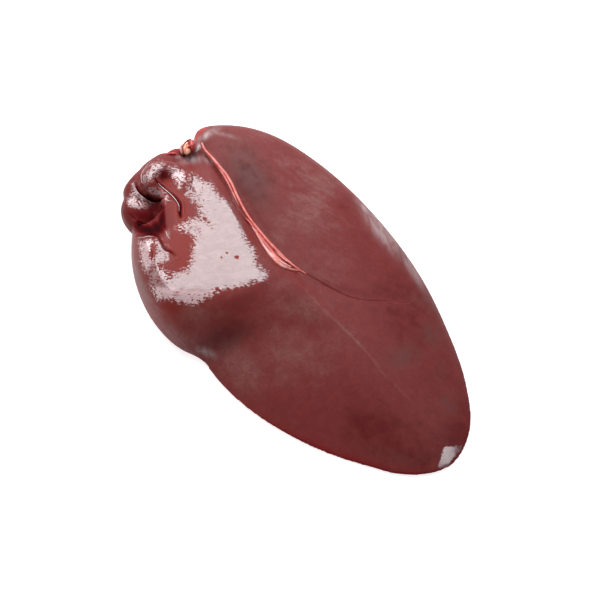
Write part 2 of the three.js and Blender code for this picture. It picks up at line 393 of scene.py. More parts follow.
class Graph:
    """The node graph of a material or of the world."""

    def __init__(self, tree: NodeTree) -> None:
        """Start an empty graph in a node tree."""
        self.tree = tree
        tree.nodes.clear()

    def node(self, kind: str, settings: dict, inputs: dict) -> Node:
        """Add a node.

        Args:
            kind: The node's type.
            settings: Its properties by name, which are set first.
            inputs: Its inputs by name or place: numbers, colours or other sockets.

        Returns:
            The node.
        """
        made = self.tree.nodes.new(kind)
        for name, value in settings.items():
            setattr(made, name, value)
        for name, value in inputs.items():
            if isinstance(value, Value):
                self.tree.links.new(value.socket, made.inputs[name])
            else:
                made.inputs[name].default_value = value
        return made

    def math(self, operation: str, a: Value | float, b: Value | float) -> Value:
        """Work out one sum of two numbers by the name of its operation."""
        made = self.node("ShaderNodeMath", {"operation": operation}, {0: a, 1: b})
        return Value(self, made.outputs[0])

    def mix(self, a: Value | Colour, b: Value | Colour, share: Value | float) -> Value:
        """Blend two colours.

        Args:
            a: The colour at share 0.
            b: The colour at share 1.
            share: How much of the second.

        Returns:
            The blended colour.
        """
        inputs = {"Factor": share, MIX_FROM: whole_colour(a), MIX_TO: whole_colour(b)}
        made = self.node("ShaderNodeMix", {"data_type": "RGBA"}, inputs)
        return Value(self, made.outputs[MIX_RESULT])

    def attribute(self, name: str) -> Value:
        """Read a number stored on the vertices by its name."""
        made = self.node("ShaderNodeAttribute", {"attribute_name": name}, {})
        return Value(self, made.outputs["Fac"])

    def noise(self, noise: Noise) -> Value:
        """Make smooth noise.

        Args:
            noise: What it is like.

        Returns:
            The noise, from 0 to 1.
        """
        place = Value(self, self.node("ShaderNodeTexCoord", {}, {}).outputs["Object"])
        rotation = (0, 0, math.radians(noise.turn))
        turned = self.node("ShaderNodeMapping", {}, {"Vector": place, "Rotation": rotation})
        scaled = self.node(
            "ShaderNodeVectorMath",
            {"operation": "MULTIPLY"},
            {0: Value(self, turned.outputs["Vector"]), 1: noise.stretch},
        )
        inputs = {
            "Vector": Value(self, scaled.outputs[0]),
            "Scale": 1 / (noise.size * MM),
            "Detail": noise.layers,
            "Roughness": noise.roughness,
            "Distortion": noise.twist,
        }
        made = Value(self, self.node("ShaderNodeTexNoise", {}, inputs).outputs["Fac"])
        return made.step(*noise.contrast) if noise.contrast else made

    def bump(self, height: Value, tallest: float) -> Value:
        """Turn a height into a bumpy normal, where 1 is the tallest, in millimetres."""
        inputs = {"Strength": 1.0, "Distance": tallest * MM, "Height": height}
        return Value(self, self.node("ShaderNodeBump", {}, inputs).outputs["Normal"])

    def principled(self, inputs: dict) -> Node:
        """Add the shader of a surface, with its inputs by name."""
        return self.node("ShaderNodeBsdfPrincipled", {}, inputs)

    def blend(self, under: Node, over: Node, share: Value) -> Node:
        """Lay one shader over another.

        Args:
            under: The shader seen where the share is 0.
            over: The shader seen where it is 1.
            share: How much of the upper one shows.

        Returns:
            The node that holds both.
        """
        both = self.node("ShaderNodeMixShader", {}, {0: share})
        self.tree.links.new(under.outputs[0], both.inputs[1])
        self.tree.links.new(over.outputs[0], both.inputs[2])
        return both

    def end(self, kind: str, shader: Node) -> None:
        """Join a shader to an output node of a kind."""
        last = self.node(kind, {}, {})
        self.tree.links.new(shader.outputs[0], last.inputs["Surface"])


def whole_colour(colour: Value | Colour) -> Value | tuple:
    """Give a colour its alpha of 1, or leave it as it is where it is a socket."""
    return colour if isinstance(colour, Value) else (*colour, 1.0)


def new_material(name: str) -> tuple[Material, Graph]:
    """Start a material.

    Args:
        name: Its name.

    Returns:
        The material and its empty graph.
    """
    material = bpy.data.materials.new(name)
    material.use_nodes = True
    return material, Graph(material.node_tree)


@dataclass(frozen=True)
class Sight:
    """The camera: where it stands, and where places on the organ show in its picture.

    Lengths are in metres and angles in degrees. The origin is the place on the table right under
    the umbilicus.
    """

    origin: Vector
    azimuth: float = 51.0
    elevation: float = 55.0
    distance: float = 1.728
    lens: float = 96.0
    sensor: float = 36.0
    picture_side: float = 600.0
    umbilicus_shown_at: Pixel = (292.0, 270.0)
    umbilicus_height: float = 0.0475

    @staticmethod
    def of_node(node: str) -> Sight:
        """Aim at the umbilicus of a node."""
        low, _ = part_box(node)
        along, across = HILUM_TO_UMBILICUS * MM, NEAR_SIDE_TO_UMBILICUS * MM
        return Sight(Vector((low.x + along, low.y + across, 0)))

    def axes(self) -> tuple[Vector, Vector, Vector]:
        """Work out the camera's own axes.

        Returns:
            The way to the right, up, and back from the organ to the camera.
        """
        turn, tilt = math.radians(self.azimuth), math.radians(self.elevation)
        level = math.cos(tilt)
        back = Vector((math.sin(turn) * level, -math.cos(turn) * level, math.sin(tilt)))
        right = Vector((math.cos(turn), math.sin(turn), 0))
        return right, back.cross(right), back

    def pixels_per_slope(self) -> float:
        """Give the focal length in pixels."""
        return self.lens / self.sensor * self.picture_side

    def eye(self) -> Vector:
        """Work out where the camera stands, so that the umbilicus shows at its place.

        Returns:
            The camera's place.
        """
        right, up, back = self.axes()
        metres_per_pixel = self.distance / self.pixels_per_slope()
        across = self.umbilicus_shown_at[0] - self.picture_side / 2
        above = self.picture_side / 2 - self.umbilicus_shown_at[1]
        target = self.origin + Vector((0, 0, self.umbilicus_height))
        return target + back * self.distance - (right * across + up * above) * metres_per_pixel

    def through(self, pixel: np.ndarray) -> Vector:
        """Point from the camera through a pixel.

        Args:
            pixel: The pixel.

        Returns:
            The direction, of length 1.
        """
        right, up, back = self.axes()
        across = pixel[0] - self.picture_side / 2
        above = self.picture_side / 2 - pixel[1]
        return (right * across + up * above - back * self.pixels_per_slope()).normalized()

    def shown(self, places: np.ndarray) -> np.ndarray:
        """Find the pixels where places show.

        Args:
            places: The places in metres, one a row.

        Returns:
            A pixel for each place, one a row.
        """
        right, up, back = (np.array(axis) for axis in self.axes())
        offset = places - np.array(self.eye())
        scale = self.pixels_per_slope() / -(offset @ back)
        half = self.picture_side / 2
        return np.stack([half + offset @ right * scale, half - offset @ up * scale], axis=1)

    def faces(self, places: np.ndarray, normals: np.ndarray) -> np.ndarray:
        """Measure how squarely a surface faces the camera: 1 at most, and 0 edge on."""
        toward = np.array(self.eye()) - places
        return (toward * normals).sum(1) / np.linalg.norm(toward, axis=1)


@dataclass(frozen=True)
class LiverFlesh:
    """The organ's own surface under its wet membrane.

    The vertices say where it has creases, where it is thin, red, pale or wet, and where light and
    shade
    are painted: painted shade in creases, recesses and on slopes away from the light, painted sheen
    and reflections on margins and steep walls, painted highlights in the wet patches and a painted
    red glow at the thin edge. The noises add the mottling of the lobules, the streaks and the grain.
    A tone is how strongly a noise makes the flesh pale or deep, and a share is how much of a colour
    it lets through. The raggedness and the border of a wet patch are in pixels.
    """

    # Deep red: the flesh's own darker tone; the deep dabs also use it as painted shade at the hilum
    # and beside the fissure.
    deep: Colour = (0.066, 0.006, 0.007)
    base: Colour = (0.128, 0.0225, 0.021)
    # Painted sheen: grey-mauve flesh as under a soft reflection of the surroundings; the mottling
    # noise also leans towards this colour.
    sheen_haze: Colour = (0.165, 0.068, 0.062)
    warm: Colour = (0.158, 0.015, 0.010)
    # Painted shade: dark brown on slopes that face away from the key light.
    brown: Colour = (0.036, 0.009, 0.008)
    # Darker greyish patches: painted shade beside the fissure and on the bulge's shaded side; near
    # the tip and the far margin the flesh is just made darker and greyer.
    smoke_and_shade: Colour = (0.083, 0.029, 0.026)
    # Painted shade: the tip's steep sides and thin bottom edge made dark red, shown with no
    # reflection.
    painted_rim: Colour = (0.095, 0.0025, 0.0035)
    # Bright red patches, and the painted red glow of light through the thin near edge.
    blood: Colour = (0.34, 0.008, 0.008)
    # Painted shade in the creases and recesses: maroon at their sides and near black at their depths.
    shade_maroon: Colour = (0.074, 0.0046, 0.0062)
    dark: Colour = (0.018, 0.003, 0.004)
    # Painted sheen and reflections: pale grey where the surroundings reflect on margins and steep
    # walls.
    sheen_veil: Colour = (0.30, 0.25, 0.255)
    cream: Colour = (0.46, 0.16, 0.12)
    # Painted highlight: pale colour mixed into the mirror, standing in for the key light's
    # reflection.
    sheen_film: Colour = (0.62, 0.47, 0.48)

    ragged: Noise = Noise(1.6, 4, 0.6, (1.0, 0.45, 1.0), 35.0)
    # Swirls vary the painted highlight inside the wet patches.
    swirls: Noise = Noise(9.0, 3, 1.2, (1.0, 0.6, 1.0), 35.0, (0.3, 0.8))
    grain: Noise = Noise(2.2, 1.5)
    wrinkles: Noise = Noise(5.5, 2, 0.8, (1.0, 0.6, 1.0), 20.0)
    lobules: Noise = Noise(2.0, 2)
    specks: Noise = Noise(2.3, 2, 0.3, contrast=(0.3, 0.7))
    blotches: Noise = Noise(8.0, 3, 0.6, contrast=(0.3, 0.7))
    mottles: Noise = Noise(13.0, 4, 0.4)
    clouds: Noise = Noise(46.0, 2)
    streaks: Noise = Noise(9.0, 4, 0.9, (0.28, 1.0, 1.0), -14.0)
    veins: Noise = Noise(7.0, 3, 0.9, (0.2, 1.0, 1.0), 30.0)

    raggedness: float = 32.0
    wet_border: float = 0.9
    swirl_share: float = 0.11
    fine_grain: float = 0.4
    wrinkle_depth: float = 9.0
    bump_height: float = 0.09
    mottle_tone: float = 1.1
    lobule_tone: float = 0.45
    cloud_tone: float = 0.6
    streak_tone: float = 2.0
    vein_tone: float = 1.8
    full_tone: float = 1.3
    speck_share: float = 0.16
    blotch_share: float = 0.24
    smoke_spots: tuple[float, float] = (0.3, 0.62)
    veil_spots: tuple[float, float] = (0.35, 0.65)
    dark_crease: tuple[float, float] = (0.4, 1.0)
    shaded_crease: tuple[float, float] = (0.0, 0.65)

    def dress(self) -> Material:
        """Build the material.

        Returns:
            The material.
        """
        material, graph = new_material("liver_flesh")
        ragged = graph.noise(self.ragged)
        depth = graph.attribute("wet") + (ragged - 0.5) * self.raggedness
        crease, painted_rim = graph.attribute("crease"), graph.attribute("painted_rim")
        grain = graph.noise(self.grain) * self.fine_grain + ragged * self.fine_grain
        wrinkles = graph.noise(self.wrinkles) * graph.attribute("wrinkled") * self.wrinkle_depth
        normal = graph.bump(grain + wrinkles, self.bump_height)
        colour = self.colour(graph)
        # Painted highlight: pale colour and swirls of it are mixed into the mirror's base colour
        # where the highlight_glaze attribute is set.
        highlight_glaze = graph.attribute("highlight_glaze") + graph.noise(self.swirls) * self.swirl_share
        painted_highlight_colour = graph.mix(graph.mix(colour, self.dark, 0.5), self.sheen_film, highlight_glaze * (0.5 + ragged))
        # Painted shade for the creases and recesses, from maroon to near black.
        hollow_shade = graph.mix(self.shade_maroon, self.dark, crease.step(*self.dark_crease))
        moist = graph.principled(
            {
                "Base Color": colour,
                "Roughness": 0.5 - 0.12 * ragged,
                "IOR": 1.4,
                "Specular IOR Level": 0.11,
                "Subsurface Weight": 0.3,
                "Subsurface Radius": (1.0, 0.22, 0.15),
                "Subsurface Scale": 0.005,
                "Normal": normal,
            }
        )
        mirror = graph.principled(
            {
                "Base Color": painted_highlight_colour,
                "Roughness": 0.13 + 0.08 * ragged,
                "IOR": 1.75,
                "Normal": normal,
            }
        )
        # A dark shader with no reflection that shows the painted shade of the creases and recesses
        # and of the tip's steep sides.
        shaded = graph.principled(
            {
                "Base Color": graph.mix(hollow_shade, self.painted_rim, painted_rim),
                "Roughness": 0.9,
                "Specular IOR Level": 0.0,
            }
        )
        skin = graph.blend(moist, mirror, depth.step(-self.wet_border, self.wet_border))
        shaded_share = graph.math("MAXIMUM", crease.step(*self.shaded_crease), painted_rim)
        graph.end("ShaderNodeOutputMaterial", graph.blend(skin, shaded, shaded_share))
        return material

    def colour(self, graph: Graph) -> Value:
        """Work out the colour of the flesh.

        Args:
            graph: The graph to add to.

        Returns:
            The colour.
        """
        mottles, veins = graph.noise(self.mottles), graph.noise(self.veins)
        streaked, veiled = graph.attribute("streaked"), graph.attribute("veiled")
        # The tone attribute holds painted sheen from the grey sheen dabs, less the deep dabs, which
        # are partly painted shade; the noises add mottling.
        tone = graph.attribute("tone") + (mottles - 0.5) * self.mottle_tone
        tone = tone + (graph.noise(self.lobules) - 0.5) * self.lobule_tone
        tone = tone + (graph.noise(self.clouds) - 0.5) * self.cloud_tone
        tone = tone - (graph.noise(self.streaks) - 0.5) * streaked * self.streak_tone
        tone = tone + (veins - 0.5) * veiled * self.vein_tone
        spots = graph.noise(self.specks) * self.speck_share
        spots = spots + graph.noise(self.blotches) * self.blotch_share
        colour = graph.mix(self.base, self.sheen_haze, tone.step(0.0, self.full_tone))
        colour = graph.mix(colour, self.deep, (0 - tone).step(0.0, self.full_tone))
        colour = graph.mix(colour, self.deep, spots)
        colour = graph.mix(colour, self.warm, graph.attribute("warmth") * (0.6 + 0.5 * mottles))
        # Painted shade on slopes that face away from the light.
        colour = graph.mix(colour, self.brown, graph.attribute("shade"))
        # Darker greyish patches, partly painted shade.
        smoky_and_shaded = graph.attribute("smoky_and_shaded") * mottles.step(*self.smoke_spots)
        colour = graph.mix(colour, self.smoke_and_shade, smoky_and_shaded)
        # Red patches, and the painted red glow of light through the thin near edge.
        colour = graph.mix(colour, self.blood, graph.attribute("blood"))
        # Painted sheen and reflections, streaked along the veins noise.
        sheen_film = graph.attribute("sheen_film") * (0.6 + 0.8 * veins.step(*self.veil_spots))
        colour = graph.mix(colour, self.sheen_veil, sheen_film)
        return graph.mix(colour, self.cream, graph.attribute("fat"))


@dataclass(frozen=True)
class Tissue:
    """A plain wet tissue: a strand, a membrane or a vessel wall. Its spots are in millimetres."""

    base: Colour
    tinge: Colour
    spot_size: float = 4.0
    gloss: float = 0.22

    def dress(self, name: str) -> Material:
        """Build the material.

        Args:
            name: Its name.

        Returns:
            The material.
        """
        material, graph = new_material(name)
        blotches = graph.noise(Noise(self.spot_size, 2, 0.5, contrast=(0.38, 0.64)))
        grain = graph.noise(Noise(self.spot_size / 4, 1))
        shader = graph.principled(
            {
                "Base Color": graph.mix(self.base, self.tinge, blotches),
                "Roughness": self.gloss + 0.15 * grain,
                "IOR": 1.45,
                "Subsurface Weight": 0.25,
                "Subsurface Radius": (1.0, 0.4, 0.3),
                "Subsurface Scale": 0.003,
                "Normal": graph.bump(grain, 0.1),
            }
        )
        graph.end("ShaderNodeOutputMaterial", shader)
        return material


class Finish(Enum):
    """What a piece that lies on the organ can be made of."""

    CORAL = Tissue((0.38, 0.062, 0.05), (0.45, 0.13, 0.105), spot_size=9.0)
    PALE = Tissue((0.50, 0.26, 0.24), (0.42, 0.12, 0.10), spot_size=9.0)
    RED = Tissue((0.25, 0.013, 0.013), (0.36, 0.045, 0.035), spot_size=7.0)
    BLOOD = Tissue((0.30, 0.008, 0.008), (0.36, 0.05, 0.045))
    FAT = Tissue((0.72, 0.42, 0.26), (0.46, 0.09, 0.06), spot_size=8.0, gloss=0.35)
    SINEW = Tissue((0.36, 0.28, 0.28), (0.20, 0.07, 0.07), spot_size=5.0, gloss=0.35)
    # Painted highlight: the pale finish of the strands that stand in for glints.
    GLINT = Tissue((0.46, 0.38, 0.39), (0.36, 0.24, 0.25), gloss=0.15)


@dataclass(frozen=True)
class Patch:
    """A patch of the membrane that mirrors the light.

    The sheen_film is the share of pale painted highlight on it, and the crispness how little its edge
    is ragged.
    """

    outline: list[Pixel]
    sheen_film: float = 0.0
    crispness: float = 1.0


# The second number of a patch is its share of painted highlight.
PATCHES = (
    Patch(MAIN_PATCH, 0.03),
    Patch(LOWER_PATCH, 0.5),
    Patch(TIP_PATCH, 0.05, 4.0),
    Patch(SMALL_PATCH),
    Patch(SMALL_PATCH_LEFT, 0.4),
    Patch(SPECKLED_PATCH, 0.15, 0.7),
    Patch(LOBE_PATCH, 0.2),
    Patch(SIDE_PATCH, 0.35),
    Patch(OUTER_PATCH, 0.3, 1.4),
    Patch(FOLD_PATCH, 0.1),
    *(Patch(fleck, 0.15) for fleck in FLECKS),
)


@dataclass(frozen=True)
class Crease:
    """A line pressed into the organ, or a ridge raised on it where the depth is negative.

    Sizes are in millimetres. The lip is how high the surface swells just beside the line, the painted
    shade how dark its core is painted, the paleness how pale, and the crease fades out over its ends.
    The laid line is evened out so many times.
    """

    line: list[Pixel]
    depth: float
    half_width: float
    lip: float = 0.0
    painted_shade: float = 1.0
    paleness: float = 0.0
    ends: float = 8.0
    evened: int = 4


# The painted shade darkens each crease's core.
CREASES = (
    Crease(FISSURE, 2.4, 1.7, painted_shade=0.4),
    Crease(WEB, 1.2, 3.0, painted_shade=0.0),
    Crease(CLEFT, 0.6, 0.8, lip=0.2, painted_shade=0.45, ends=20),
    Crease(CLEFT_END, 0.2, 0.8, lip=0.15, painted_shade=0.0, paleness=0.5, ends=10),
    Crease(FALCIFORM_LINE, -0.3, 2.4, painted_shade=0.0, paleness=0.55, ends=70),
    Crease(OUTER_CREASE, 2.4, 1.4, lip=0.5),
    Crease(INNER_CREASE, 3.4, 1.7, lip=0.8),
    Crease(HOLLOW_EDGE, 1.4, 1.3, lip=0.5, painted_shade=0.7),
    Crease(TONGUE_EDGE, 2.5, 1.5, lip=0.3, painted_shade=0.8),
    Crease(LOBE_RIM, 0.7, 1.1, lip=0.4, painted_shade=0.2, evened=80),
    Crease(FOLD_EDGE, 0.8, 1.0, lip=0.4, painted_shade=0.3),
    *(Crease(line, 0.6, 0.8, lip=0.15, painted_shade=0.6, ends=3) for line in SHORT_CREASES),
)


@dataclass(frozen=True)
class Dab:
    """A soft-edged oval on the side of the organ that the camera sees.

    Its middle and its reaches along and across are in pixels. The turn of the first reach is in
    degrees, clockwise from the picture's right.
    """

    x: float
    y: float
    along: float
    across: float
    turn: float = 0.0
    strength: float = 1.0


FAT_DABS = (
    Dab(186, 148, 4.5, 4), Dab(182, 148, 3, 3, 0, 0.7),
)
# Painted sheen, reflections and glints at the margins, the lip, the hole by the vessels and the
# lobes' wet lines; the one on the membrane lump is its own pale colour.
PALE_SHEEN_DABS = (
    Dab(198, 147, 2.5, 5, 15, 0.8), Dab(192, 159, 12, 4, -10, 0.55), Dab(208, 160, 8, 3, 35, 0.4),
    Dab(178, 157, 4, 2, 30, 0.5), Dab(207, 135, 11, 3, -32, 0.6), Dab(222, 134, 14, 2, 15, 0.25),
    Dab(382, 231, 24, 6.5, 53, 0.65), Dab(364, 208, 10, 3, 48, 0.5),
    Dab(411, 268, 22, 3.5, 60, 0.4), Dab(205, 352, 12, 4, 20, 0.3), Dab(168, 234, 2, 4, 10, 0.35),
    Dab(146, 156, 12, 2.5, -48, 0.3),
)
BLOOD_DABS = (
    Dab(192, 144, 3.5, 4.5, 0, 1.0), Dab(170, 152, 7, 2, -5, 0.7), Dab(237, 257, 2.0, 1.4, 0, 0.3),
    Dab(196, 137, 2.6, 7, 22, 0.6), Dab(202, 130, 7, 2.2, -38, 0.6), Dab(297, 270, 4, 2, 25, 0.6),
    Dab(163, 193, 3, 3, 0, 0.35), Dab(156, 196, 8, 2.6, 15, 0.45),
)
# Painted shade: the bulge's side away from the key light, the valley beside the fissure and the
# recess under the hilum's lobes.
SLOPE_SHADE_DABS = (
    Dab(228, 336, 30, 12, -25, 0.65), Dab(248, 178, 13, 32, -32, 0.55),
    Dab(150, 216, 16, 8, 10, 0.35),
)
# Darker greyish patches: painted shade beside the fissure and on the bulge's shaded side; near the
# tip and the far margin the flesh is just made darker and greyer.
SMOKE_AND_SHADE_DABS = (
    Dab(431, 338, 10, 15, -20, 1.0), Dab(404, 356, 20, 12, -10, 0.8), Dab(440, 372, 9, 12, 0, 0.6),
    Dab(449, 404, 9, 13, 0, 0.9), Dab(424, 302, 16, 8, 30, 0.7), Dab(252, 172, 14, 34, -32, 0.75),
    Dab(236, 160, 12, 9, 20, 0.6), Dab(225, 345, 22, 8, -25, 0.5), Dab(403, 250, 30, 7, 58, 0.6),
    Dab(385, 455, 40, 8, 12, 0.45),
)
# Painted shade: the dark recesses under the hilum's lobes and folds, and the dark hole beside the cut
# vessels.
HOLLOW_SHADE_DABS = (
    Dab(148, 230, 15, 6, 8, 1.0), Dab(157, 228, 8, 8, 0, 1.0), Dab(139, 226, 8, 6, 40, 0.9),
    Dab(161, 222, 4, 14, 8, 0.9), Dab(143, 216, 20, 8, 10, 0.6), Dab(150, 210, 16, 4, 6, 0.45),
    Dab(172, 154, 6, 2.2, 12, 0.8), Dab(163, 207, 3, 4, 0, 0.6), Dab(155, 186, 6, 8, -30, 0.3),
    Dab(163, 174, 5, 7, 20, 0.5), Dab(186, 186, 5, 9, -30, 0.3), Dab(127, 216, 4, 10, -20, 0.3),
    Dab(132, 180, 3, 10, 30, 0.3), Dab(150, 201, 11, 3, 20, 0.3), Dab(140, 212, 16, 8, 15, 0.45),
    Dab(153, 208, 9, 6, 0, 0.5),
)
WARM_DABS = (
    Dab(190, 250, 45, 60, -25, 0.85), Dab(183, 262, 14, 20, 0, 1.0), Dab(165, 310, 24, 26, 30, 0.8),
    Dab(178, 205, 30, 40, 0, 0.75), Dab(172, 240, 9, 12, -10, 0.8),
)
# Painted sheen: places where the flesh is made grey-mauve, as under a soft reflection of the
# surroundings.
GREY_SHEEN_DABS = (
    Dab(282, 238, 24, 26, -20, 0.5), Dab(282, 284, 18, 10, 0, 0.6), Dab(300, 308, 34, 18, 10, 0.7),
    Dab(286, 374, 24, 16, 20, 0.6), Dab(312, 200, 32, 40, 0, 0.95), Dab(284, 218, 14, 12, 0, 0.5),
    Dab(200, 312, 30, 12, -10, 0.9), Dab(285, 163, 18, 10, 30, 0.7), Dab(269, 190, 9, 5, 10, 0.7),
    Dab(236, 156, 14, 3, 15, 0.5), Dab(240, 365, 36, 22, 40, 0.8), Dab(290, 350, 40, 30, 20, 0.6),
    Dab(340, 335, 30, 30, 0, 0.3), Dab(300, 345, 110, 70, 45, 0.25), Dab(310, 366, 38, 22, 30, 0.5),
    Dab(325, 262, 42, 30, 20, 0.4), Dab(255, 135, 24, 8, 10, 0.5), Dab(430, 345, 9, 20, -20, 0.4),
    Dab(448, 405, 9, 20, -15, 0.5), Dab(405, 365, 12, 9, 0, 0.3),
)
# Deeper red: the flesh's own colour at the tip and in a blotch on the far side; at the hilum's lobes,
# the tongue and beside the fissure it is painted shade.
DEEP_AND_SHADE_DABS = (
    Dab(372, 425, 60, 30, 25, 0.75), Dab(415, 455, 50, 14, 15, 0.6), Dab(372, 390, 24, 18, 0, 0.35),
    Dab(455, 440, 24, 44, 10, 0.85), Dab(462, 315, 18, 44, -20, 0.65),
    Dab(432, 302, 16, 22, -20, 0.6), Dab(425, 385, 60, 60, 0, 0.3), Dab(345, 207, 10, 14, -45, 0.9),
    Dab(254, 172, 24, 44, -30, 0.8), Dab(410, 320, 45, 75, -25, 0.6),
    Dab(372, 262, 22, 30, -20, 0.4), Dab(404, 262, 18, 6, 55, 0.7), Dab(143, 212, 24, 12, 10, 0.9),
    Dab(168, 212, 6, 22, -5, 1.4), Dab(190, 208, 12, 22, -25, 0.6), Dab(330, 420, 40, 14, 25, 0.3),
    Dab(350, 243, 26, 16, 20, 0.35), Dab(150, 196, 26, 22, 0, 0.55), Dab(128, 204, 9, 20, 0, 0.4),
    Dab(295, 190, 25, 4, 10, 0.5), Dab(330, 250, 60, 6, 20, 0.2),
)
STREAK_DABS = (
    Dab(290, 190, 90, 60, 40, 0.9), Dab(350, 235, 60, 40, 50, 0.9), Dab(400, 360, 90, 120, 0, 0.4),
)
VEIL_DABS = (
    Dab(255, 165, 50, 35, 40, 0.9), Dab(190, 160, 20, 12, 0, 0.7),
)
WRINKLE_DABS = (
    Dab(160, 185, 32, 26, -20, 0.6), Dab(140, 205, 22, 14, 20, 0.7), Dab(188, 158, 22, 8, -15, 0.5),
    Dab(152, 252, 14, 16, 0, 0.35),
)
BARE_DABS = (
    Dab(237, 257, 2.4, 1.8, 0, 1.0), Dab(227, 253, 1.6, 0.8, 30, 0.8),
    Dab(222, 258, 0.9, 1.6, 0, 0.7), Dab(217, 289, 1.2, 1.5, 0, 0.8), Dab(153, 250, 2.6, 9, 8, 0.5),
)
PIT_DABS = (
    Dab(195, 200, 18, 26, -20, 0.95), Dab(160, 180, 30, 22, 0, 1.0), Dab(212, 214, 16, 18, 0, 0.6),
    Dab(220, 245, 14, 12, 0, 0.3), Dab(222, 258, 12, 7, 0, 0.45), Dab(180, 294, 34, 8, 0, 0.75),
    Dab(158, 279, 9, 12, 0, 1.0), Dab(190, 240, 10, 18, 0, 0.9), Dab(190, 226, 14, 9, 0, 0.95),
    Dab(198, 232, 9, 14, 0, 0.8), Dab(140, 202, 18, 10, 0, 1.0), Dab(155, 255, 14, 18, 0, 1.0),
)

# The attributes that the material reads straight from dabs.
DABBED = {
    "fat": FAT_DABS,
    "shade": SLOPE_SHADE_DABS,
    "smoky_and_shaded": SMOKE_AND_SHADE_DABS,
    "warmth": WARM_DABS,
    "streaked": STREAK_DABS,
    "veiled": VEIL_DABS,
    "wrinkled": WRINKLE_DABS,
}


def dabbed(pixels: np.ndarray, dabs: tuple[Dab, ...]) -> np.ndarray:
    """Lay dabs over one another.

    Args:
        pixels: Where each place shows in the picture, one a row.
        dabs: The dabs.

    Returns:
        How strongly the strongest dab covers each place, from 0 at nothing.
    """
    covered = np.zeros(len(pixels))
    for dab in dabs:
        turn = math.radians(dab.turn)
        offset = pixels - np.array((dab.x, dab.y))
        along = (offset @ np.array([math.cos(turn), math.sin(turn)])) / dab.along
        across = (offset @ np.array([-math.sin(turn), math.cos(turn)])) / dab.across
        covered = np.maximum(covered, dab.strength * np.exp(-(along**2 + across**2)))
    return covered


class Surface:
    """The organ's outside, for laying lines on it where the camera sees them."""

    def __init__(self, organ: Object, sight: Sight) -> None:
        """Read the organ's surface as the camera of the sight sees it."""
        self.sight = sight
        self.tree = BVHTree.FromObject(organ, bpy.context.evaluated_depsgraph_get())

    def place(self, pixel: np.ndarray) -> np.ndarray:
        """Find the place on the organ that shows at a pixel.

        Args:
            pixel: The pixel. Just beside the organ, the nearest place on it is taken.

        Returns:
            The place in metres.
        """
        eye, way = self.sight.eye(), self.sight.through(pixel)
        hit = self.tree.ray_cast(eye, way)[0]
        if hit is not None:
            return np.array(hit)
        depths = self.sight.distance + np.arange(-RAY_REACH, RAY_REACH, RAY_STEP) * MM
        found = [self.tree.find_nearest(eye + way * depth) for depth in depths]
        return np.array(min(found, key=lambda near: near[3])[0])

    def laid(self, line: list[Pixel], step: float, evened: int) -> np.ndarray:
        """Lay a line on the organ.

        Args:
            line: The line's pixels.
            step: The spacing of the laid points, in pixels.
            evened: How many times the laid line is evened out before it is put back on the organ.

        Returns:
            The laid points in metres, one a row.
        """
        places = np.array([self.place(p) for p in curve_through(np.array(line, float), step)])
        for _ in range(evened):
            places[1:-1] = (places[:-2] + 2 * places[1:-1] + places[2:]) / 4
        return np.array([self.tree.find_nearest(Vector(place))[0] for place in places])

    def normal(self, place: np.ndarray) -> np.ndarray:
        """Find which way the surface faces at a place in metres."""
        return np.array(self.tree.find_nearest(Vector(place))[1])


